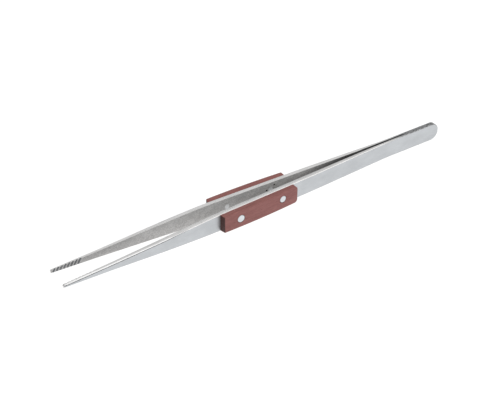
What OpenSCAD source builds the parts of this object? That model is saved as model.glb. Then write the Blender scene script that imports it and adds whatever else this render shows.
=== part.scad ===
// Precision tweezers with riveted fibre grips.
// +X runs from the tips to the heel, the front arm is on -Y, and the tool lies on
// its long edges at Z = 0. The heel of each arm is fixed, and its blade turns about
// the place where the real strip bends.

/* [Arms] */
// Overall length, tip to heel
tool_len = 200; // [200:5:250]
// Width of the strip that each arm is cut from
arm_w = 8.6; // [8:0.1:9.5]
// Thickness of the strip at the grip
arm_t = 2; // [1.6:0.1:2.2]
// Thickness of the strip at the weld
heel_t = 1.2; // [1:0.05:1.5]
// Length over which the two arms are welded together
weld_len = 25; // [20:1:30]
// Radius of the corners at the heel
heel_r = 4; // [1:0.1:4]

/* [Splay] */
// Angle at which each arm leaves the centre plane, in degrees
splay = 1.95; // [1.7:0.05:2.4]
// Angle of the blade past the grip
blade_splay = 1.3; // [0.9:0.05:1.6]
// Angle of the serrated tip
tip_splay = 1.5; // [1.2:0.05:1.8]

/* [Tips] */
// Width of the tip at its end
tip_w = 1.6; // [1.2:0.1:2]
// Thickness of the tip at its end
tip_t = 1; // [0.8:0.05:1.2]
// Length of the tip past the second bend
tip_len = 22; // [18:1:26]
// Half the angle between the edges of the serrated tip, in degrees
tip_taper = 2.2; // [1.5:0.1:3]
// Half the angle between the edges of the tapered blade
blade_taper = 3.05; // [2.8:0.05:3.3]
// Size of the bevel along the outer edges of the blade
bevel = 0.5; // [0.2:0.05:0.55]
// Number of grip grooves
groove_count = 8; // [4:1:9]
// Distance from one groove to the next
groove_pitch = 1.6; // [1.4:0.1:1.8]
// Width of a groove at the face
groove_w = 0.8; // [0.4:0.1:1]
// Depth of a groove
groove_depth = 0.3; // [0.1:0.05:0.35]

/* [Grips] */
// Length of a grip pad
pad_len = 39; // [36:1:42]
// Thickness of a grip pad at its ends
pad_t = 2.5; // [2:0.05:3]
// Extra thickness of a grip pad at its middle
pad_crown = 0.45; // [0.2:0.05:0.8]
// Distance from the heel to the middle of the pads
pad_from_heel = 105.4; // [102:0.2:108]
// How much nearer the heel the rear pad sits than the front pad
rear_pad_shift = 0.5; // [0:0.1:1]
// How far the pads' long edges stand back from the strip's
pad_inset = 0.1; // [0:0.05:0.5]
// Radius of the pads' corners at the heel side
pad_corner_r = 1.6; // [0.5:0.1:3]
// Distance between the two rivets of a pad
rivet_gap = 22.4; // [18:0.2:26]
// Height of the rivet nearer the heel above the middle of the strip
heel_rivet_rise = 0.8; // [0:0.1:1]
// Diameter of the rivets' shanks
rivet_d = 3; // [2.4:0.1:3.1]
// Diameter of the flush head on the rivet nearer the tip
tip_rivet_head_d = 3.7; // [3.2:0.1:4.2]
// Diameter of the flush head on the rivet nearer the heel
heel_rivet_head_d = 3.4; // [3.2:0.1:4.2]

/* [Hidden] */
$fn = 64;

steel_colour = [0.78, 0.79, 0.81];
fibre_colour = [0.55, 0.36, 0.33];
rivet_colour = [0.90, 0.91, 0.93];

heel_x = tool_len / 2;
tip_x = -tool_len / 2;
tip_root_x = tip_x + tip_len;
mid_z = arm_w / 2;

// Where the middle of the grip touches the arm.
pad_x = heel_x - pad_from_heel;

// The strip bends in three places, each an arc in plan: [middle, length]. They are
// just past the weld, just past the grip, and where the serrated tip begins.
first_bend = [heel_x - weld_len - 2.5, 5];
second_bend = [pad_x - pad_len / 2 - 13.5, 20];
third_bend = [tip_root_x, 6];
bend_steps = 6;

// A blade bends mostly near the weld. As one rigid piece it turns about a point a
// third of the way from the weld to the grip.
pivot_x = heel_x - weld_len - (pad_from_heel - weld_len) / 3;

// The strip thins towards both ends, over these lengths. It is thick from this far
// past the weld, and thin next to the first bend, where it flexes.
thinning_len = 46;
heel_thinning_len = 42;
thick_from_weld = 50;
thick_x = heel_x - weld_len - thick_from_weld;

rivet_head_h = 0.7;
rivet_clearance = 0.01;
punch_mark_d = 0.9;
punch_mark_depth = 0.35;
punch_marks_at = [[1.85, 1.7], [-2.05, 0]];
tip_corner_r = 0.5;
groove_slant = 30;
first_groove = 1.55;

// Slope of the inner face at x, as a tangent, for the arm on +Y.
function ramp(x, bend) = min(1, max(0, (bend[0] + bend[1] / 2 - x) / bend[1]));
function slope(x) =
    tan(splay) * ramp(x, first_bend)
    + (tan(blade_splay) - tan(splay)) * ramp(x, second_bend)
    + (tan(tip_splay) - tan(blade_splay)) * ramp(x, third_bend);

// A ramp summed from the heel to x, and so the inner face's distance from the centre.
function ramp_sum(x, bend) =
    let (high = bend[0] + bend[1] / 2, low = bend[0] - bend[1] / 2)
    x > high ? 0
    : x > low ? (high - x) * (high - x) / (2 * bend[1])
    : bend[0] - x;
function inner_y(x) =
    tan(splay) * ramp_sum(x, first_bend)
    + (tan(blade_splay) - tan(splay)) * ramp_sum(x, second_bend)
    + (tan(tip_splay) - tan(blade_splay)) * ramp_sum(x, third_bend);

function thickness(x) =
    arm_t - (arm_t - tip_t) * max(0, (tip_x + thinning_len - x) / thinning_len)
    - (arm_t - heel_t) * min(1, max(0, (x - thick_x) / heel_thinning_len));

// Stations along the strip, from the heel to the tip: the ends of each bend and the
// steps between them.
function bend_stations(bend) =
    [for (i = [0:bend_steps]) bend[0] + bend[1] * (0.5 - i / bend_steps)];
stations = concat([heel_x], bend_stations(first_bend),
                  [thick_x + heel_thinning_len, thick_x], bend_stations(second_bend),
                  [tip_x + thinning_len], bend_stations(third_bend), [tip_x]);

// A point at distance d outside the inner face, square to it.
function off_face(x, d) =
    let (m = slope(x), n = sqrt(1 + m * m))
    [x + d * m / n, inner_y(x) + d / n];

// Half the strip's width: straight, then a knee that is an arc, then two tapers.
tip_root_h = tip_w / 2 + tip_len * tan(tip_taper);
taper_run = (arm_w / 2 - tip_root_h) / tan(blade_taper);
knee_x = tip_root_x + taper_run;
knee_len = 16;
knee_steps = 6;
function knee_h(x) =
    let (past = knee_x + knee_len / 2 - x)
    arm_w / 2 - tan(blade_taper) * past * past / (2 * knee_len);
knee_points = [for (i = [0:knee_steps])
    let (x = knee_x + knee_len * (0.5 - i / knee_steps)) [x, knee_h(x)]];
half_outline = concat([[heel_x, arm_w / 2]], knee_points,
                      [[tip_root_x, tip_root_h], [tip_x, tip_w / 2]]);

// A pad's outer face is part of a wide cylinder. A rivet reaches from the arm's inner
// face to it.
pad_total_t = pad_t + pad_crown;
pad_w = arm_w - 2 * pad_inset;
crown_r = (pad_len * pad_len / 4 + pad_crown * pad_crown) / (2 * pad_crown);
rivet_len = arm_t + pad_total_t - crown_r
    + sqrt(crown_r * crown_r - rivet_gap * rivet_gap / 4);
function rivet_head_d(side) = side > 0 ? heel_rivet_head_d : tip_rivet_head_d;
function rivet_z(side) = side > 0 ? heel_rivet_rise : 0;

// Plan of the +Y strip: inner face out to the tip, outer face back to the heel.
module strip_plan() {
    last = len(stations) - 1;
    inner = [for (x = stations) off_face(x, 0)];
    outer = [for (i = [last:-1:0])
        off_face(stations[i], thickness(stations[i]))];
    polygon(concat(inner, outer));
}

// What comes off a corner at [x, y] to round it. sx and sy say which way it points.
module corner_cut(x, y, r, sx, sy) {
    translate([x - sx * r, y - sy * r])
        difference() {
            translate([sx > 0 ? 0 : -2 * r, sy > 0 ? 0 : -2 * r]) square(2 * r);
            circle(r);
        }
}

// Side of the strip: straight, then tapered to the tip, with round corners.
module strip_side() {
    last = len(half_outline) - 1;
    lower = [for (i = [last:-1:0]) [half_outline[i][0], -half_outline[i][1]]];
    difference() {
        polygon(concat(half_outline, lower));
        for (side = [-1, 1]) {
            corner_cut(heel_x, side * mid_z, heel_r, 1, side);
            corner_cut(tip_x, side * tip_w / 2, tip_corner_r, -1, side);
        }
    }
}

// Puts its children on the inner face at x, with +Y pointing out of the arm.
module on_face(x) {
    translate([x, inner_y(x), mid_z])
        rotate([0, 0, -atan(slope(x))])
            children();
}

// The wedge that bevels the upper outer edge: a triangle swept from the tip's end,
// through the tip's root, to the knee, where it leaves the metal.
module upper_edge_wedge() {
    reach = 1;
    fade_x = knee_x - knee_len / 2;
    function corner(x, h, b) =
        let (p = off_face(x, thickness(x)))
        [[p[0], p[1] - b - reach, h + reach],
         [p[0], p[1] + reach, h + reach],
         [p[0], p[1] + reach, h - b - reach]];
    tip_end = corner(tip_x, tip_w / 2, bevel);
    root = corner(tip_root_x, tip_root_h, bevel);
    past_tip = [for (i = [0:2]) tip_end[i] + (tip_end[i] - root[i]) * (1 / tip_len)];
    fade = corner(fade_x, knee_h(fade_x), -0.05);
    sides = [for (k = [0, 3], i = [0:2])
        let (a = k + i, b = k + (i + 1) % 3)
        each [[a, b, a + 3], [b, b + 3, a + 3]]];
    polyhedron(concat(past_tip, root, fade), concat([[2, 1, 0], [6, 7, 8]], sides));
}

module edge_bevels() {
    translate([0, 0, mid_z]) {
        upper_edge_wedge();
        mirror([0, 0, 1]) upper_edge_wedge();
    }
}

// Slanted vee grooves across the inner face of the tip.
module grip_grooves() {
    half_w = groove_w / 2;
    for (i = [0:groove_count - 1])
        on_face(tip_x + first_groove + i * groove_pitch)
            rotate([0, groove_slant, 0])
                linear_extrude(3 * arm_w, center = true)
                    polygon([[-half_w, -1], [half_w, -1], [half_w, 0],
                             [0, groove_depth], [-half_w, 0]]);
}

// Puts its children at a rivet's axis on the inner face: -1 is the one nearer the tip.
module on_rivet(side) {
    on_face(pad_x)
        translate([side * rivet_gap / 2, 0, rivet_z(side)])
            children();
}

module rivet_holes(d) {
    for (side = [-1, 1])
        on_rivet(side)
            rotate([90, 0, 0])
                cylinder(h = 40, d = d, center = true);
}

// Two marks beside the rivet nearer the heel.
module punch_marks() {
    for (at = punch_marks_at)
        on_rivet(1)
            translate([at[0], 0, at[1]])
                rotate([90, 0, 0])
                    cylinder(h = 2 * punch_mark_depth, d = punch_mark_d, center = true);
}

// The whole +Y arm in one piece.
module whole_arm() {
    difference() {
        intersection() {
            linear_extrude(arm_w) strip_plan();
            translate([0, 50, mid_z])
                rotate([90, 0, 0])
                    linear_extrude(100) strip_side();
        }
        edge_bevels();
        grip_grooves();
        rivet_holes(rivet_d + 2 * rivet_clearance);
        punch_marks();
    }
}

// Everything on the heel side of the pivot, or everything on the tip side.
module heel_side() {
    on_face(pivot_x)
        translate([0, -20, -arm_w]) cube([tool_len, 40, 2 * arm_w]);
}

module arm_heel() {
    color(steel_colour)
        intersection() {
            whole_arm();
            heel_side();
        }
}

module arm_blade() {
    color(steel_colour)
        difference() {
            whole_arm();
            heel_side();
        }
}

// A crowned slab on the outer face, square at the tip side, with round corners at
// the heel side.
module grip_pad(shift) {
    color(fibre_colour)
        difference() {
            on_face(pad_x)
                translate([shift, arm_t, 0])
                    intersection() {
                        translate([0, pad_total_t - crown_r, 0])
                            cylinder(h = arm_w, r = crown_r, center = true, $fn = 1440);
                        translate([0, pad_total_t, 0])
                            rotate([90, 0, 0])
                                linear_extrude(pad_total_t) pad_side();
                    }
            rivet_holes(rivet_d + 2 * rivet_clearance);
            for (side = [-1, 1]) rivet_head(side, rivet_clearance);
        }
}

module pad_side() {
    difference() {
        square([pad_len, pad_w], center = true);
        for (side = [-1, 1])
            corner_cut(pad_len / 2, side * pad_w / 2, pad_corner_r, 1, side);
    }
}

// The flush countersunk head at the outer end of a rivet.
module rivet_head(side, grow) {
    on_rivet(side)
        translate([0, rivet_len - rivet_head_h, 0])
            rotate([-90, 0, 0])
                cylinder(h = rivet_head_h, d1 = rivet_d + 2 * grow,
                         d2 = rivet_head_d(side) + 2 * grow);
}

module rivet(side) {
    color(rivet_colour) {
        on_rivet(side)
            rotate([-90, 0, 0])
                cylinder(h = rivet_len - rivet_head_h, d = rivet_d);
        rivet_head(side, 0);
    }
}

module front() {
    mirror([0, 1, 0]) children();
}

front() arm_heel();  // front_arm_heel
arm_heel();  // rear_arm_heel
front() arm_blade();  // front_arm_blade
arm_blade();  // rear_arm_blade
front() grip_pad(0);  // front_grip_pad
grip_pad(rear_pad_shift);  // rear_grip_pad
front() rivet(-1);  // front_tip_side_rivet
front() rivet(1);  // front_heel_side_rivet
rivet(-1);  // rear_tip_side_rivet
rivet(1);  // rear_heel_side_rivet
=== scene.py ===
"""Looks of a pair of precision tweezers with riveted fibre grips.

Shapes follow the CAD part. Lengths are in millimetres until a mesh is made. "Flat"
coordinates are those of a strip before it is bent: x along it, n outwards from its
inner face, and z up from its middle.
"""

import math

import bmesh
import bpy
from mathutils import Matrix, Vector


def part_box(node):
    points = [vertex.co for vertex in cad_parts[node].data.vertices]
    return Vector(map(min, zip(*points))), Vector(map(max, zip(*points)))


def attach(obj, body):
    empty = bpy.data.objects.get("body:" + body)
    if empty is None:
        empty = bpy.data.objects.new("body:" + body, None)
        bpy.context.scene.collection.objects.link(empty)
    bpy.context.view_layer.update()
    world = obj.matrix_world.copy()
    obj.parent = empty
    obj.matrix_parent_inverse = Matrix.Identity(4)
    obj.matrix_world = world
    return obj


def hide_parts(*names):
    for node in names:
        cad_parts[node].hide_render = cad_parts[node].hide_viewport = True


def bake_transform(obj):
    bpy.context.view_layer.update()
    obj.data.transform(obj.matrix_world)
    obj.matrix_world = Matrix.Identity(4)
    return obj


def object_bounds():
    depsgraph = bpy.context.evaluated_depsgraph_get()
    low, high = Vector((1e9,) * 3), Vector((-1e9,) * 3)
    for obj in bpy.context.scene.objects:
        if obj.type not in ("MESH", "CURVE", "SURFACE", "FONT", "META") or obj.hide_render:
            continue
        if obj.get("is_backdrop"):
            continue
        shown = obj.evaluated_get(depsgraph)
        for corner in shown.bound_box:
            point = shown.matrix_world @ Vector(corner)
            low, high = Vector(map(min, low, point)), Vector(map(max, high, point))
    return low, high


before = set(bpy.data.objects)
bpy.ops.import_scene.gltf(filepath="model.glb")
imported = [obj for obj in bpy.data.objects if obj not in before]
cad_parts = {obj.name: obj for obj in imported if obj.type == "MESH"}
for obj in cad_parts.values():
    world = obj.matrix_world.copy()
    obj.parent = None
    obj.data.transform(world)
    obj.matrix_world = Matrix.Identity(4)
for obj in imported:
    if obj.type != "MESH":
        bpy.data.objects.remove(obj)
cad_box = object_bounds()

MM = 0.001


def tan(degrees):
    return math.tan(math.radians(degrees))


# The strips ---------------------------------------------------------------------

box_low, box_high = [corner / MM for corner in cad_box]
HEEL_X, TIP_X = box_high.x, box_low.x
ARM_W = box_high.z - box_low.z
MID_Z = (box_high.z + box_low.z) / 2

# Splays and tapers are half angles, and thinnings the lengths over which a strip thins.
SPLAY, BLADE_SPLAY, TIP_SPLAY = 1.95, 1.3, 1.5
ARM_T, HEEL_T, TIP_T = 2.0, 1.2, 1.0
HEEL_R, TIP_R = 4.0, 0.75
WELD_LEN = 25
TIP_LEN, TIP_W = 22, 1.6
TIP_TAPER, BLADE_TAPER = 2.2, 3.05
TIP_THINNING, HEEL_THINNING = 46, 42
THICK_FROM_WELD = 50
KNEE_LEN = 16

PAD_LEN, PAD_T, PAD_CROWN = 39, 2.5, 0.45
PAD_INSET = 0.1
PAD_W = ARM_W - 2 * PAD_INSET
PAD_SHIFTS = {"front": 0.0, "rear": 0.5}
PAD_TOP = PAD_T + PAD_CROWN
CROWN_R = (PAD_LEN**2 / 4 + PAD_CROWN**2) / (2 * PAD_CROWN)
pad_box = [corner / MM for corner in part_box("front_grip_pad")]
PAD_X = (pad_box[0].x + pad_box[1].x) / 2 - tan(SPLAY) * (ARM_T + PAD_TOP / 2)

WELD_X = HEEL_X - WELD_LEN
TIP_ROOT_X = TIP_X + TIP_LEN
THICK_X = WELD_X - THICK_FROM_WELD
TIP_ROOT_H = TIP_W / 2 + TIP_LEN * tan(TIP_TAPER)
KNEE_X = TIP_ROOT_X + (ARM_W / 2 - TIP_ROOT_H) / tan(BLADE_TAPER)


def clamp(v):
    return min(1.0, max(0.0, v))


def smooth(v):
    v = clamp(v)
    return v * v * (3 - 2 * v)


# (middle, length, change of slope) of each bend: past the weld, past the grip, and where
# the serrated tip begins.
BENDS = (
    (WELD_X - 2.5, 5, tan(SPLAY)),
    (PAD_X - PAD_LEN / 2 - 13.5, 20, tan(BLADE_SPLAY) - tan(SPLAY)),
    (TIP_ROOT_X, 6, tan(TIP_SPLAY) - tan(BLADE_SPLAY)),
)


def slope(x):
    """Tangent of the rear strip's angle to the centre plane."""
    return sum(m * clamp((middle + length / 2 - x) / length) for middle, length, m in BENDS)


def inner_y(x):
    """Distance of the rear strip's inner face from the centre plane."""
    total = 0.0
    for middle, length, m in BENDS:
        start, end = middle + length / 2, middle - length / 2
        if x < end:
            total += m * (middle - x)
        elif x < start:
            total += m * (start - x) ** 2 / (2 * length)
    return total


def thickness(x):
    towards_tip = max(0.0, (TIP_X + TIP_THINNING - x) / TIP_THINNING)
    towards_heel = clamp((x - THICK_X) / HEEL_THINNING)
    return ARM_T - (ARM_T - TIP_T) * towards_tip - (ARM_T - HEEL_T) * towards_heel


def half_width(x):
    if x < TIP_ROOT_X:
        return TIP_W / 2 + (x - TIP_X) * tan(TIP_TAPER)
    past = KNEE_X + KNEE_LEN / 2 - x
    if past <= 0:
        return ARM_W / 2
    if past < KNEE_LEN:
        return ARM_W / 2 - tan(BLADE_TAPER) * past**2 / (2 * KNEE_LEN)
    return ARM_W / 2 - tan(BLADE_TAPER) * (KNEE_X - x)


def bent(x, n, z):
    """Flat coordinates of the rear strip to its real place, in millimetres."""
    m = slope(x)
    root = math.sqrt(1 + m * m)
    return (x + n * m / root, inner_y(x) + n / root, MID_Z + z)


def on_grip(u, n, z):
    """The same for things fixed at the grip: u runs along the strip from its middle."""
    m = slope(PAD_X)
    root = math.sqrt(1 + m * m)
    return (
        PAD_X + (u + n * m) / root,
        inner_y(PAD_X) + (n - u * m) / root,
        MID_Z + z,
    )


# Mesh helpers -------------------------------------------------------------------


def new_object(name, points, faces, materials, indices, mirrored):
    """A mesh in metres. Mirrored, it belongs to the front arm instead of the rear."""
    side = -1 if mirrored else 1
    mesh = bpy.data.meshes.new(name)
    mesh.from_pydata(
        [(x * MM, side * y * MM, z * MM) for x, y, z in points],
        [],
        [f[::-1] for f in faces] if mirrored else faces,
    )
    for m in materials:
        mesh.materials.append(m)
    mesh.polygons.foreach_set("material_index", indices)
    mesh.update()
    obj = bpy.data.objects.new(name, mesh)
    bpy.context.scene.collection.objects.link(obj)
    return obj


def plate(rings, material_of):
    """A plate that is the same above and below its middle, from rings round its rim.

    A ring is a list of (x, n, z) with z above 0, from the heel end to the tip end. The
    first ring bounds the inner face and the last the outer face.
    """
    count, last = len(rings[0]), len(rings) - 1
    points, faces, indices = [], [], []

    for ring in rings:
        for x, n, z in ring:
            points += [(x, n, z), (x, n, -z)]

    def add(where, *corners):
        """A face from (ring, place in it, 1 below the middle) of each corner."""
        faces.append([(j * count + i) * 2 + below for j, i, below in corners])
        indices.append(material_of(where, *corners[0][:2]))

    for i in range(count - 1):
        for j in range(last):
            add("top", (j, i, 0), (j, i + 1, 0), (j + 1, i + 1, 0), (j + 1, i, 0))
            add("foot", (j, i, 1), (j + 1, i, 1), (j + 1, i + 1, 1), (j, i + 1, 1))
        add("inner", (0, i, 0), (0, i, 1), (0, i + 1, 1), (0, i + 1, 0))
        add("outer", (last, i, 0), (last, i + 1, 0), (last, i + 1, 1), (last, i, 1))
    i = count - 1
    for j in range(last):
        add("heel", (j, 0, 0), (j + 1, 0, 0), (j + 1, 0, 1), (j, 0, 1))
        add("tip", (j, i, 0), (j, i, 1), (j + 1, i, 1), (j + 1, i, 0))
    return points, faces, indices


def turned(profile, segments, place):
    """A solid turned about the n axis, from (radius, n) pairs with radius 0 at the ends."""
    points, faces = [place(0, profile[0][1], 0)], []
    for r, n in profile[1:-1]:
        for k in range(segments):
            a = 2 * math.pi * k / segments
            points.append(place(r * math.cos(a), n, r * math.sin(a)))
    points.append(place(0, profile[-1][1], 0))
    end = len(points) - 1
    starts = range(1, end, segments)
    for k in range(segments):
        k2 = (k + 1) % segments
        faces.append([0, 1 + k, 1 + k2])
        for this, after in zip(starts, starts[1:]):
            faces.append([this + k, after + k, after + k2, this + k2])
        faces.append([starts[-1] + k, end, starts[-1] + k2])
    return points, faces


def joined(parts):
    """Several (points, faces) as one."""
    points, faces = [], []
    for more_points, more_faces in parts:
        base = len(points)
        points += more_points
        faces += [[base + v for v in f] for f in more_faces]
    return points, faces


def outward(obj):
    """Makes all faces of a closed mesh look outwards."""
    bm = bmesh.new()
    bm.from_mesh(obj.data)
    bmesh.ops.recalc_face_normals(bm, faces=bm.faces)
    bm.to_mesh(obj.data)
    bm.free()


def cut(obj, cutter):
    """Takes cutter out of obj for good."""
    modifier = obj.modifiers.new("cut", "BOOLEAN")
    modifier.operation = "DIFFERENCE"
    modifier.solver = "EXACT"
    modifier.material_mode = "TRANSFER"
    modifier.object = cutter
    graph = bpy.context.evaluated_depsgraph_get()
    mesh = bpy.data.meshes.new_from_object(obj.evaluated_get(graph))
    obj.modifiers.clear()
    obj.data = mesh
    bpy.data.objects.remove(cutter)


def shade(obj, sharp_from=32):
    """Smooth shading, with edges of this many degrees or more kept sharp."""
    obj.data.shade_smooth()
    obj.data.set_sharp_from_angle(angle=math.radians(sharp_from))


# Materials ----------------------------------------------------------------------


class Nodes:
    """A short way to write a node tree."""

    def __init__(self, name):
        self.material = bpy.data.materials.new(name)
        self.material.use_nodes = True
        self.tree = self.material.node_tree
        self.bsdf = self.tree.nodes["Principled BSDF"]
        self.place = self.add("ShaderNodeTexCoord").outputs["Object"]

    def add(self, kind, inputs=None, **settings):
        node = self.tree.nodes.new(kind)
        for key, value in settings.items():
            setattr(node, key, value)
        for key, value in (inputs or {}).items():
            socket = node.inputs[key]
            if isinstance(value, bpy.types.NodeSocket):
                self.tree.links.new(value, socket)
            else:
                socket.default_value = value
        return node

    def set(self, **values):
        for key, value in values.items():
            socket = self.bsdf.inputs[key.replace("_", " ").title().replace("Ior", "IOR")]
            if isinstance(value, bpy.types.NodeSocket):
                self.tree.links.new(value, socket)
            else:
                socket.default_value = value

    def stretched(self, x, y, z):
        """Object coordinates in millimetres, divided by these lengths."""
        scale = (1 / (x * MM), 1 / (y * MM), 1 / (z * MM))
        node = self.add("ShaderNodeMapping", {"Vector": self.place, "Scale": scale})
        return node.outputs["Vector"]

    def noise(self, vector, detail=3.0, roughness=0.55):
        node = self.add(
            "ShaderNodeTexNoise",
            {"Vector": vector, "Scale": 1.0, "Detail": detail, "Roughness": roughness},
        )
        return node.outputs["Fac"]

    def spread(self, value, low, high, to_low=0.0, to_high=1.0):
        node = self.add(
            "ShaderNodeMapRange",
            {
                "Value": value,
                "From Min": low,
                "From Max": high,
                "To Min": to_low,
                "To Max": to_high,
            },
            interpolation_type="SMOOTHSTEP",
        )
        return node.outputs["Result"]

    def mix(self, factor, a, b):
        node = self.add("ShaderNodeMix", {0: factor, 6: a, 7: b}, data_type="RGBA")
        return node.outputs[2]

    def math(self, operation, a, b):
        node = self.add("ShaderNodeMath", {0: a, 1: b}, operation=operation)
        return node.outputs[0]

    def axis(self, which):
        return self.add("ShaderNodeSeparateXYZ", {"Vector": self.place}).outputs[which]

    def bump(self, height, strength, distance_mm):
        node = self.add(
            "ShaderNodeBump",
            {"Height": height, "Strength": strength, "Distance": distance_mm * MM},
        )
        self.tree.links.new(node.outputs["Normal"], self.bsdf.inputs["Normal"])


def grey(v, blue=0.0):
    return (v * (1 - blue), v, v * (1 + blue), 1)


def satin_steel(name, dark, light, roughness, blue=0.03, grain=(3.0, 0.12, 0.12), bump=0.25):
    """Steel with a fine grain along the strip, faint clouds and small scratches."""
    n = Nodes(name)
    fine = n.noise(n.stretched(*grain), 4.0, 0.6)
    clouds = n.noise(n.stretched(9, 4, 4), 2.0)
    tone = n.math("ADD", n.math("MULTIPLY", fine, 0.55), n.math("MULTIPLY", clouds, 0.45))
    colour = n.mix(n.spread(tone, 0.36, 0.64), grey(dark, blue), grey(light, blue))
    n.set(
        base_color=colour,
        metallic=1.0,
        roughness=n.spread(fine, 0.3, 0.7, roughness - 0.05, roughness + 0.06),
    )
    n.bump(fine, bump, 0.012)
    return n


def make_inner():
    """Blasted steel: duller, with a speckled grain, and painted light and shade graded along
    the strip, darkest near the weld.
    """
    n = Nodes("blasted_steel")
    speckle = n.noise(n.stretched(0.55, 0.4, 0.4), 3.0, 0.7)
    clouds = n.noise(n.stretched(6, 3, 3), 3.0)
    tone = n.math("ADD", n.math("MULTIPLY", speckle, 0.75), n.math("MULTIPLY", clouds, 0.25))
    grain = n.spread(tone, 0.38, 0.62)
    # These tones change along the strip as painted light and shade; the near-black one by the
    # weld is painted shade in the gap between the arms.
    tip = n.mix(grain, grey(0.35, -0.016), grey(0.53, -0.016))
    blade = n.mix(grain, grey(0.43, -0.016), grey(0.66, -0.016))
    grip = n.mix(grain, grey(0.33, -0.022), grey(0.54, -0.022))
    weld = n.mix(grain, grey(0.07, -0.02), grey(0.15, -0.02))
    along = n.axis("X")
    colour = n.mix(n.spread(along, -78 * MM, -44 * MM), tip, blade)
    colour = n.mix(n.spread(along, -42 * MM, 2 * MM), colour, grip)
    colour = n.mix(n.spread(along, 20 * MM, 50 * MM), colour, weld)
    n.set(base_color=colour, metallic=0.35, roughness=n.spread(speckle, 0.3, 0.7, 0.6, 0.75))
    n.bump(speckle, 0.4, 0.03)
    return n.material


def make_edge():
    """Ground steel: bright, but dull and mottled where the arms are welded."""
    n = satin_steel("ground_edge_steel", 0.78, 0.90, 0.3, blue=-0.022)
    bright = n.bsdf.inputs["Base Color"].links[0].from_socket
    mottle = n.noise(n.stretched(1.1, 0.4, 0.7), 4.0, 0.7)
    dull = n.mix(n.spread(mottle, 0.35, 0.62), grey(0.15), grey(0.48))
    at_weld = n.spread(n.axis("X"), (WELD_X - 12) * MM, (WELD_X + 8) * MM)
    n.set(base_color=n.mix(at_weld, bright, dull))
    return n.material


def make_fibre(name, dark, light):
    """Vulcanised fibre: fine lengthwise fibres, cloudy colour and dark flecks."""
    n = Nodes(name)
    fibres = n.noise(n.stretched(5.0, 0.16, 0.16), 5.0, 0.65)
    clouds = n.noise(n.stretched(7.0, 1.2, 1.2), 3.0)
    tone = n.math("ADD", n.math("MULTIPLY", fibres, 0.65), n.math("MULTIPLY", clouds, 0.35))
    base = n.mix(n.spread(tone, 0.34, 0.66), (*dark, 1), (*light, 1))
    fleck = n.noise(n.stretched(1.6, 0.2, 0.2), 2.0)
    colour = n.mix(n.spread(fleck, 0.64, 0.72), base, tuple(v * 0.62 for v in dark) + (1,))
    n.set(
        base_color=colour,
        roughness=n.spread(fibres, 0.3, 0.7, 0.5, 0.66),
        specular_ior_level=0.35,
    )
    n.bump(fibres, 0.35, 0.04)
    return n.material


def make_aluminium(name, light, roughness, blue, grain, bump=0.25):
    return satin_steel(name, 0.65, light, roughness, blue, grain, bump).material


OUTER = satin_steel("satin_steel", 0.505, 0.575, 0.36).material
INNER, EDGE = make_inner(), make_edge()
BEVEL = satin_steel("bevel_steel", 0.64, 0.74, 0.32, blue=-0.01).material
# A near-black line on the bevel's top edge only: painted shade at the facet's edge.
SHADE_LINE = satin_steel("bevel_painted_shade_line", 0.06, 0.11, 0.4).material
# Darker steel on the grooves' walls: painted shade in the recesses.
SHADED_GROOVE = satin_steel("groove_painted_shade_steel", 0.18, 0.26, 0.5).material
# Near-black steel: painted shade, lining the punch dents and the seam by the weld.
SHADE_BLACK = satin_steel("painted_shade_black_steel", 0.03, 0.06, 0.55).material
FIBRE = make_fibre("red_fibre", (0.213, 0.076, 0.068), (0.312, 0.127, 0.116))
# A lighter copy of the fibre for the pad's edge strips: painted light.
FIBRE_LIT_RIM = make_fibre("red_fibre_painted_light_rim", (0.275, 0.100, 0.088), (0.400, 0.160, 0.142))
# Dark fibre: painted shade, for the pad's tip-side end and the ring round each rivet head.
FIBRE_SHADE = make_fibre("red_fibre_painted_shade", (0.048, 0.018, 0.016), (0.083, 0.031, 0.027))
ALUMINIUM = make_aluminium("ground_aluminium", 0.73, 0.36, 0.035, (0.12, 0.12, 0.9), 0.2)
PEENED = make_aluminium("peened_aluminium", 0.75, 0.5, 0.01, (0.3, 0.3, 0.3))

# The two arms -------------------------------------------------------------------

INNER_EDGE_R, SEAM_R = 0.12, 0.35
SEAM = (56, 81)
SEAM_FADES = (14, 3)
SIDE_STEP, SIDE_TIP_GAP = 1.0, 0.8
HEEL_STEPS, TIP_STEPS = 16, 8
RIM_STEPS, BEVEL_STEPS = 3, 5
BEVEL_START, BEVEL_FULL = -38, -54
BEVEL_SMALL, BEVEL_LARGE = 0.25, 0.46
BEVEL_FLATNESS = 0.8
BEVEL_STEEL_FROM = BEVEL_START - 3
LINE_W, LINE_GAP = 0.28, 0.02
MIN_R = 0.02


def bevel_share(x):
    """How much of the round outer edge has become a flat bevel, edged by a fine strip that is
    painted as a dark line of shade on the top edge.
    """
    return smooth((BEVEL_START - x) / (BEVEL_START - BEVEL_FULL))


def bevel_size(x):
    towards_tip = clamp((BEVEL_START - x) / (BEVEL_START - TIP_X))
    return BEVEL_SMALL + (BEVEL_LARGE - BEVEL_SMALL) * towards_tip


def inner_edge_r(x):
    """The inner edges are rounder next to the weld, where they leave a seam between the arms,
    painted near black as shade.
    """
    share = smooth((x - SEAM[0]) / SEAM_FADES[0]) * smooth((SEAM[1] - x) / SEAM_FADES[1])
    return INNER_EDGE_R + (SEAM_R - INNER_EDGE_R) * share


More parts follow.
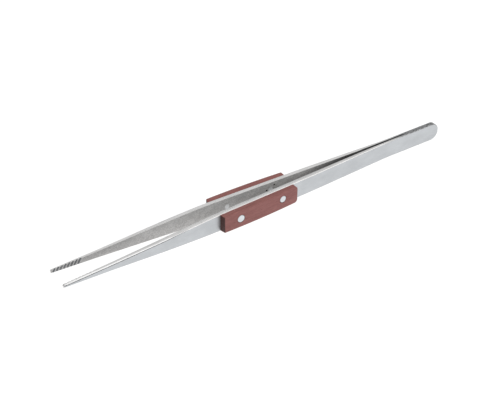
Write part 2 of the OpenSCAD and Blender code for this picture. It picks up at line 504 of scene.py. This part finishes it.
def rim_profile(x):
    """(inset, n) of each ring at x, from the inner face to the outer face."""
    t, b, flat = thickness(x), bevel_size(x), BEVEL_FLATNESS * bevel_share(x)
    inner_r = inner_edge_r(x)
    rings = []
    for k in range(RIM_STEPS):
        a = math.pi / 2 * k / (RIM_STEPS - 1)
        rings.append((inner_r * (1 - math.sin(a)), inner_r * (1 - math.cos(a))))
    for k in range(BEVEL_STEPS + 1):
        f = k / BEVEL_STEPS
        a = math.pi / 2 * f
        inset = b * ((1 - flat) * (1 - math.cos(a)) + flat * f)
        depth = b * ((1 - flat) * math.sin(a) + flat * f)
        rings.append((inset, t - b + depth))
    rings.append((b + LINE_GAP + LINE_W * bevel_share(x), t))
    return rings


def arm_rings():
    """Rings round the whole strip: the heel's corner, the side and the tip's corner."""
    side_start, side_end = HEEL_X - HEEL_R, TIP_X + SIDE_TIP_GAP
    steps = math.ceil((side_start - side_end) / SIDE_STEP)
    stations = [side_start + (side_end - side_start) * i / steps for i in range(steps + 1)]
    centre_z = ARM_W / 2 - HEEL_R
    rings = []
    for j in range(len(rim_profile(0))):
        ring = []
        inset, n = rim_profile(HEEL_X)[j]
        for k in range(HEEL_STEPS):
            a = math.pi / 2 * k / HEEL_STEPS
            r = HEEL_R - inset
            ring.append((side_start + r * math.cos(a), n, centre_z + r * math.sin(a)))
        for x in stations:
            inset, n = rim_profile(x)[j]
            ring.append((x, n, half_width(x) - inset))
        inset, n = rim_profile(TIP_X)[j]
        r = max(TIP_R - inset, MIN_R)
        centre_x = TIP_X + inset + r
        tip_z = max(half_width(centre_x) - inset - r, MIN_R)
        for k in range(1, TIP_STEPS + 1):
            a = math.pi / 2 * (1 + k / TIP_STEPS)
            ring.append((centre_x + r * math.cos(a), n, tip_z + r * math.sin(a)))
        rings.append(ring)
    return rings


ARM_MATERIALS = (OUTER, INNER, EDGE, SHADE_LINE, BEVEL, SHADE_BLACK)


def arm_material(where, j, i):
    """Place in ARM_MATERIALS of what a face of the strip gets."""
    x = ARM_RINGS[j][i][0]
    bevelled = x < BEVEL_STEEL_FROM
    if where == "inner":
        material = INNER
    # The inner edges along the seam by the weld are painted near black: painted shade in the
    # gap between the arms.
    elif j < RIM_STEPS - 1 and SEAM[0] < x < SEAM[1]:
        material = SHADE_BLACK
    elif where == "outer":
        material = OUTER
    elif j == len(ARM_RINGS) - 2:
        # On the top edge the bevel's last strip is painted dark: painted shade.
        material = SHADE_LINE if bevelled and where == "top" else OUTER
    else:
        material = BEVEL if bevelled and j >= RIM_STEPS else EDGE
    return ARM_MATERIALS.index(material)


GROOVE_COUNT, GROOVE_PITCH, FIRST_GROOVE = 8, 1.6, 1.55
GROOVE_W, GROOVE_DEPTH, GROOVE_SLANT, GROOVE_REACH = 0.85, 0.3, 30, 3.0
RIVET_D = 3.0
HOLE_GAP, HOLE_CHAMFER = 0.015, 0.05
PUNCH_D, PUNCH_DEPTH, PUNCH_LIP = 0.85, 0.6, 0.02
PUNCH_MARKS = ((1.85, 1.7), (-2.05, 0.0))
# How far cutters reach past a face, and the segments of turned shapes.
OVER = 1.0
SEGMENTS, PUNCH_SEGMENTS = 64, 32


def groove_cutter(x):
    """A vee bar across the inner face at x, leaning towards the heel at its top."""
    lean = math.radians(GROOVE_SLANT)
    base = bent(x, 0, 0)
    m = slope(x)
    root = math.sqrt(1 + m * m)
    half_w = GROOVE_W / 2
    section = ((-half_w, -OVER), (half_w, -OVER), (half_w, 0), (0, GROOVE_DEPTH), (-half_w, 0))
    points = []
    for along in (-GROOVE_REACH, GROOVE_REACH):
        for across, depth in section:
            dx = across * math.cos(lean) + along * math.sin(lean)
            dy = (depth - dx * m) / root
            dz = -across * math.sin(lean) + along * math.cos(lean)
            points.append((base[0] + (dx + depth * m) / root, base[1] + dy, base[2] + dz))
    count = len(section)
    ends = [list(range(count))[::-1], list(range(count, 2 * count))]
    nexts = [(k + 1) % count for k in range(count)]
    return points, ends + [[k, k2, count + k2, count + k] for k, k2 in enumerate(nexts)]


def rivet_at(which):
    """Where on the grip a rivet is: along it from its middle, and up."""
    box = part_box(f"rear_{which}_rivet")
    middle = (box[0] + box[1]) / 2 / MM
    m = slope(PAD_X)
    root = math.sqrt(1 + m * m)
    along = (middle.x - PAD_X - (middle.y - inner_y(PAD_X)) * m) / root
    return along, middle.z - MID_Z


RIVETS = {which: rivet_at(which) for which in ("tip_side", "heel_side")}
HEAD_D = {"tip_side": 3.7, "heel_side": 3.4}


def about(at, du=0.0, dz=0.0):
    """Puts a turned shape on an axis through the grip, du and dz from a rivet's."""
    return lambda x, n, z: on_grip(at[0] + du + x, n, at[1] + dz + z)


def cut_parts(obj, parts, material, mirrored):
    """Cuts closed parts that are clear of each other out of obj."""
    points, faces = joined(parts)
    cutter = new_object("cutter", points, faces, [material], [0] * len(faces), mirrored)
    outward(cutter)
    cut(obj, cutter)


def groove_parts():
    return [groove_cutter(TIP_X + FIRST_GROOVE + i * GROOVE_PITCH) for i in range(GROOVE_COUNT)]


def hole_parts():
    r, through = RIVET_D / 2 + HOLE_GAP, 2 * ARM_T
    mouth_r = r + HOLE_CHAMFER
    profile = [(0, -OVER), (mouth_r, -OVER), (mouth_r, 0)]
    profile += [(r, HOLE_CHAMFER), (r, through), (0, through)]
    return [turned(profile, SEGMENTS, about(at)) for at in RIVETS.values()]


def punch_parts():
    """Round-bottomed dents: most of the width is kept for most of the depth."""
    r, depth = PUNCH_D / 2, PUNCH_DEPTH
    profile = [(0, -OVER), (r, -OVER), (r, PUNCH_LIP)]
    profile += [(0.84 * r, 0.6 * depth), (0.4 * r, 0.94 * depth), (0, depth)]
    heel_side = RIVETS["heel_side"]
    return [turned(profile, PUNCH_SEGMENTS, about(heel_side, *at)) for at in PUNCH_MARKS]


ARM_RINGS = arm_rings()


def make_arm(side):
    mirrored = side == "front"
    points, faces, indices = plate(ARM_RINGS, arm_material)
    points = [bent(*p) for p in points]
    obj = new_object(side + "_strip", points, faces, ARM_MATERIALS, indices, mirrored)
    outward(obj)
    cut_parts(obj, groove_parts(), SHADED_GROOVE, mirrored)
    cut_parts(obj, hole_parts(), INNER, mirrored)
    # The dents are lined with near-black painted shade.
    cut_parts(obj, punch_parts(), SHADE_BLACK, mirrored)
    shade(obj)
    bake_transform(obj)
    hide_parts(side + "_arm_heel", side + "_arm_blade")


# Grips and rivets ---------------------------------------------------------------

PAD_EDGE_R, PAD_BACK_R = 0.22, 0.06
PAD_TIP_CORNER_R = 0.25
PAD_HEEL_CORNER_R = {"front": 1.5, "rear": 0.8}
PAD_LEAN = 0.45
PAD_SEAT_GAP = 0.004
PAD_STEPS, PAD_HEEL_STEPS, PAD_TIP_STEPS = 72, 12, 6
PAD_BACK_STEPS, PAD_FRONT_STEPS, PAD_RIM_STEPS = 3, 6, 6
RIVET_HEAD_H = 0.7
PEENED_R = 1.15
# For the ring of painted shadow round a rivet's head: its hole is wider and the head smaller by
# these, baring the hole's dark wall.
HEAD_HOLE_GAP, HEAD_GAP = 0.05, 0.12


def crown(u):
    """The pad's outer face above the strip's outer face."""
    return PAD_TOP - CROWN_R + math.sqrt(CROWN_R**2 - u**2)


def pad_rings(corner_r):
    """Rings round a pad. Its tip-side end leans: it reaches furthest at the strip."""
    half, w = PAD_LEN / 2, PAD_W / 2
    start, end = half - corner_r, -half + PAD_TIP_CORNER_R
    profile = []
    for k in range(PAD_BACK_STEPS):
        a = math.pi / 2 * k / (PAD_BACK_STEPS - 1)
        profile.append((PAD_BACK_R * (1 - math.sin(a)), PAD_BACK_R * (1 - math.cos(a)), False))
    for k in range(PAD_FRONT_STEPS):
        a = math.pi / 2 * k / (PAD_FRONT_STEPS - 1)
        profile.append((PAD_EDGE_R * (1 - math.cos(a)), PAD_EDGE_R * (math.sin(a) - 1), True))
    rings = []
    for inset, n, from_top in profile:
        outline = []
        for k in range(PAD_HEEL_STEPS):
            a = math.pi / 2 * k / PAD_HEEL_STEPS
            r = corner_r - inset
            outline.append((start + r * math.cos(a), w - corner_r + r * math.sin(a)))
        for k in range(PAD_STEPS + 1):
            outline.append((start + (end - start) * k / PAD_STEPS, w - inset))
        for k in range(1, PAD_TIP_STEPS + 1):
            a = math.pi / 2 * (1 + k / PAD_TIP_STEPS)
            r = max(PAD_TIP_CORNER_R - inset, MIN_R)
            outline.append((end + r * math.cos(a), w - PAD_TIP_CORNER_R + r * math.sin(a)))
        if from_top:
            rings.append([(u, ARM_T + crown(u) + n, z) for u, z in outline])
        else:
            seat = ARM_T + n + PAD_SEAT_GAP
            rings.append([(u - PAD_LEAN * smooth(-u / half), seat, z) for u, z in outline])
    return rings


def make_pad(side):
    mirrored = side == "front"
    materials = (FIBRE, FIBRE_SHADE, FIBRE_LIT_RIM)

    def pad_material(where, j, i):
        # The tip-side end is painted dark: painted shade on the end that faces away from the
        # light.
        if where == "tip":
            return materials.index(FIBRE_SHADE)
        # The edge strips get the lighter copy: painted light.
        on_rim = where in ("top", "foot", "heel") and j < PAD_RIM_STEPS
        return materials.index(FIBRE_LIT_RIM if on_rim else FIBRE)

    points, faces, indices = plate(pad_rings(PAD_HEEL_CORNER_R[side]), pad_material)
    points = [on_grip(u + PAD_SHIFTS[side], n, z) for u, n, z in points]
    obj = new_object(side + "_fibre_pad", points, faces, materials, indices, mirrored)
    outward(obj)
    parts = []
    for which, at in RIVETS.items():
        top = ARM_T + crown(at[0])
        r, head_r = RIVET_D / 2 + HOLE_GAP, HEAD_D[which] / 2 + HEAD_HOLE_GAP
        grow = (head_r - r) / RIVET_HEAD_H
        profile = [(0, 0), (r, 0), (r, top - RIVET_HEAD_H)]
        profile += [(head_r, top), (head_r + grow * OVER, top + OVER), (0, top + OVER)]
        parts.append(turned(profile, SEGMENTS, about(at)))
    # The holes' walls get the dark fibre, which shows as a ring of painted shadow round each
    # head.
    cut_parts(obj, parts, FIBRE_SHADE, mirrored)
    shade(obj)
    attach(obj, side + "_arm")
    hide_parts(side + "_grip_pad")


# Points of a rivet's profile. The foot's are (distance inside the shank's radius, height),
# the rim's (distance inside the head's radius, height above the pad), and the dome's
# (share of the head's radius, height above the pad).
RIVET_FOOT = ((0.12, 0.012), (0.03, 0.05), (0.0, 0.12))
HEAD_RIM = ((0.0, -0.1), (0.02, -0.05), (0.08, -0.012))
HEAD_DOME = ((0.8, 0.004), (0.4, 0.012), (0, 0.014))


def make_rivet(side, which):
    """A turned rivet. Its head follows the slope of the pad's crown."""
    mirrored = side == "front"
    u, up = RIVETS[which]
    top = ARM_T + crown(u)
    tilt = -u / CROWN_R
    shank, head = RIVET_D / 2, HEAD_D[which] / 2 - HEAD_GAP
    profile = [(0, 0.0), (PEENED_R, 0.0)]
    profile += [(shank - inside, n) for inside, n in RIVET_FOOT]
    profile.append((shank, top - RIVET_HEAD_H))
    profile += [(head - inside, top + n) for inside, n in HEAD_RIM]
    profile += [(head * share, top + n) for share, n in HEAD_DOME]

    def place(x, n, z):
        return on_grip(u + x, n + (tilt * x if n > top - RIVET_HEAD_H / 2 else 0), up + z)

    points, faces = turned(profile, SEGMENTS, place)
    name = f"{side}_{which}_rivet_turned"
    # Each segment has one face per step of the profile. The first is the peened middle of
    # the inner end, the foot's are its blasted rim, and the rest are bare aluminium.
    materials = (ALUMINIUM, PEENED, INNER)
    in_segment = [1] + [2] * len(RIVET_FOOT) + [0] * (len(profile) - 2 - len(RIVET_FOOT))
    obj = new_object(name, points, faces, materials, in_segment * SEGMENTS, mirrored)
    outward(obj)
    shade(obj, sharp_from=40)
    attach(obj, side + "_arm")
    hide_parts(f"{side}_{which}_rivet")


for arm_side in ("front", "rear"):
    make_arm(arm_side)
    make_pad(arm_side)
    for rivet_name in RIVETS:
        make_rivet(arm_side, rivet_name)

# Stage, light and camera --------------------------------------------------------

CAMERA_AZIMUTH, CAMERA_ELEVATION = -33.85, 36.01
CAMERA_DISTANCE = 520
CAMERA_TARGET = (-8.61, 1.66, MID_Z)
SENSOR = 36.0
FOCAL_PIXELS, PICTURE_W = 1196.7, 488
CLIP_START = 0.01
FLOOR_REACH, FLOOR_Z = 3000, -0.05
WORLD_COLOUR = (0.47, 0.48, 0.49, 1)


def towards(azimuth, elevation):
    """A unit vector from the object: azimuth 0 is on -Y and 90 on +X."""
    a, e = math.radians(azimuth), math.radians(elevation)
    return Vector((math.sin(a) * math.cos(e), -math.cos(a) * math.cos(e), math.sin(e)))


def aim(obj, azimuth, elevation, distance, target):
    back = towards(azimuth, elevation)
    obj.location = (Vector(target) + back * distance) * MM
    obj.rotation_mode = "QUATERNION"
    obj.rotation_quaternion = (-back).to_track_quat("-Z", "Y")


def softbox(name, azimuth, elevation, distance, size, radiance):
    light = bpy.data.lights.new(name, "AREA")
    light.shape = "SQUARE"
    light.size = size * MM
    light.energy = radiance * math.pi * (size * MM) ** 2
    obj = bpy.data.objects.new(name, light)
    bpy.context.scene.collection.objects.link(obj)
    aim(obj, azimuth, elevation, distance, (0, 0, 0))


def make_floor():
    n = Nodes("pale_floor")
    mottling = n.noise(n.stretched(40, 40, 40), 2.0)
    n.set(
        base_color=n.mix(mottling, grey(0.23), grey(0.25)),
        roughness=0.9,
        specular_ior_level=0.1,
        emission_color=(1, 1, 1, 1),
        emission_strength=0.92,
    )
    corners = ((-1, -1), (1, -1), (1, 1), (-1, 1))
    points = [(x * FLOOR_REACH, y * FLOOR_REACH, FLOOR_Z) for x, y in corners]
    obj = new_object("floor", points, [[0, 1, 2, 3]], [n.material], [0], False)
    obj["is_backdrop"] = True


make_floor()
softbox("key_softbox", azimuth=36, elevation=42, distance=700, size=700, radiance=1.1)
softbox("fill_softbox", azimuth=-60, elevation=40, distance=800, size=600, radiance=0.25)
softbox("back_softbox", azimuth=150, elevation=50, distance=800, size=700, radiance=0.25)

world = bpy.data.worlds.new("studio")
world.use_nodes = True
background = world.node_tree.nodes["Background"]
background.inputs["Color"].default_value = WORLD_COLOUR
background.inputs["Strength"].default_value = 1.0
bpy.context.scene.world = world
bpy.context.scene.view_settings.view_transform = "Standard"

camera = bpy.data.objects.new("camera", bpy.data.cameras.new("camera"))
bpy.context.scene.collection.objects.link(camera)
camera.data.sensor_width = SENSOR
camera.data.lens = FOCAL_PIXELS * SENSOR / PICTURE_W
camera.data.clip_start = CLIP_START
aim(camera, CAMERA_AZIMUTH, CAMERA_ELEVATION, CAMERA_DISTANCE, CAMERA_TARGET)
bpy.context.scene.camera = camera

boxes = {"cad": cad_box, "visual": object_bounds()}
{k: [list(corner) for corner in v] for k, v in boxes.items()}
